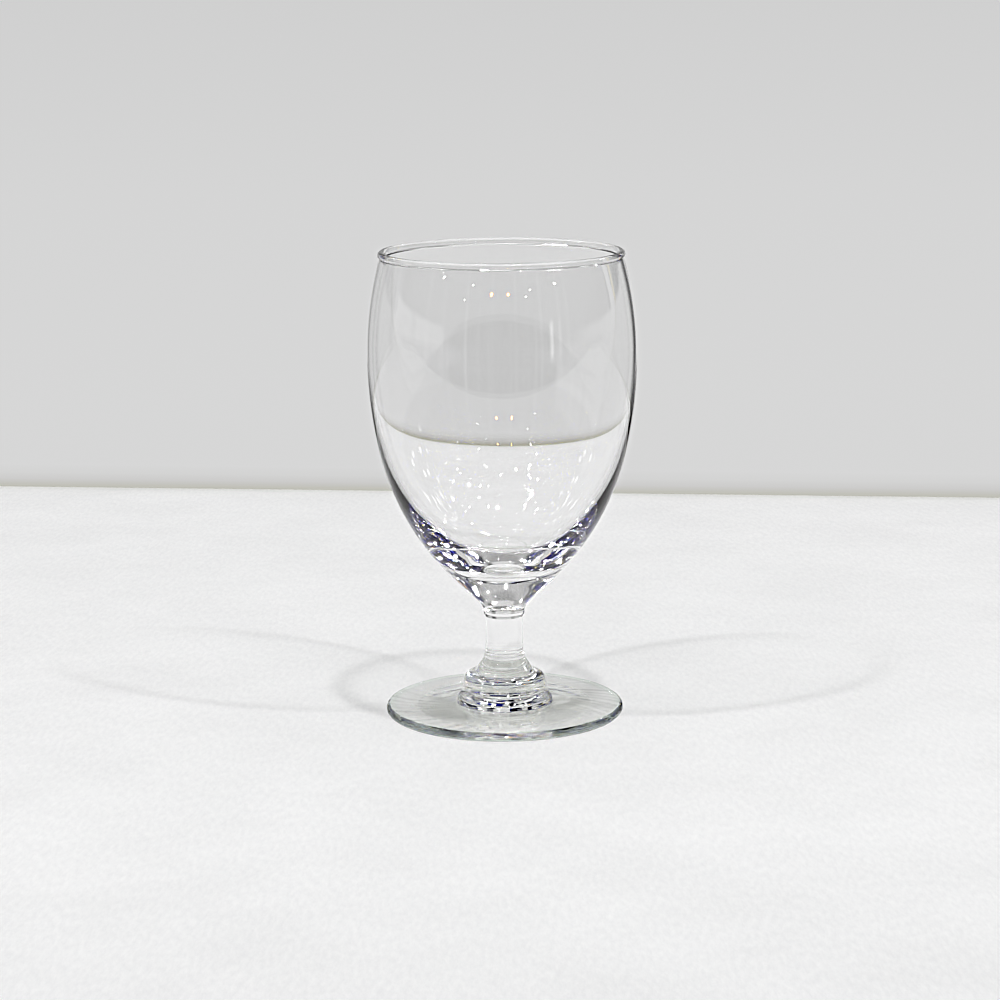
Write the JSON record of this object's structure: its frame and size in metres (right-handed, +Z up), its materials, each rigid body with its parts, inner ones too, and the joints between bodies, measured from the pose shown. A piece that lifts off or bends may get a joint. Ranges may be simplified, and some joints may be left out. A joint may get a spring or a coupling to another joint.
{
  "type": "water goblet",
  "caption": "Clear stemmed water goblet with a barrel-shaped bowl, rolled rim, short solid stem and a round foot with a stepped hub.",
  "frame": {"origin": "middle of the plane that the foot rests on", "axes": "+Z up along the goblet's axis of revolution, from the foot to the mouth; +X and +Y are any two directions across it"},
  "size_m": [0.0789, 0.0788, 0.138],
  "materials": {
    "bowl_glass": "fire-polished, clear, thin wall",
    "stem_glass": "fire-polished, clear, solid",
    "foot_glass": "pressed and fire-polished, clear with a faint green-grey edge"
  },
  "bodies": {
    "root": {"bowl": "bowl_glass", "stem": "stem_glass", "foot": "foot_glass"}
  },
  "joints": []
}
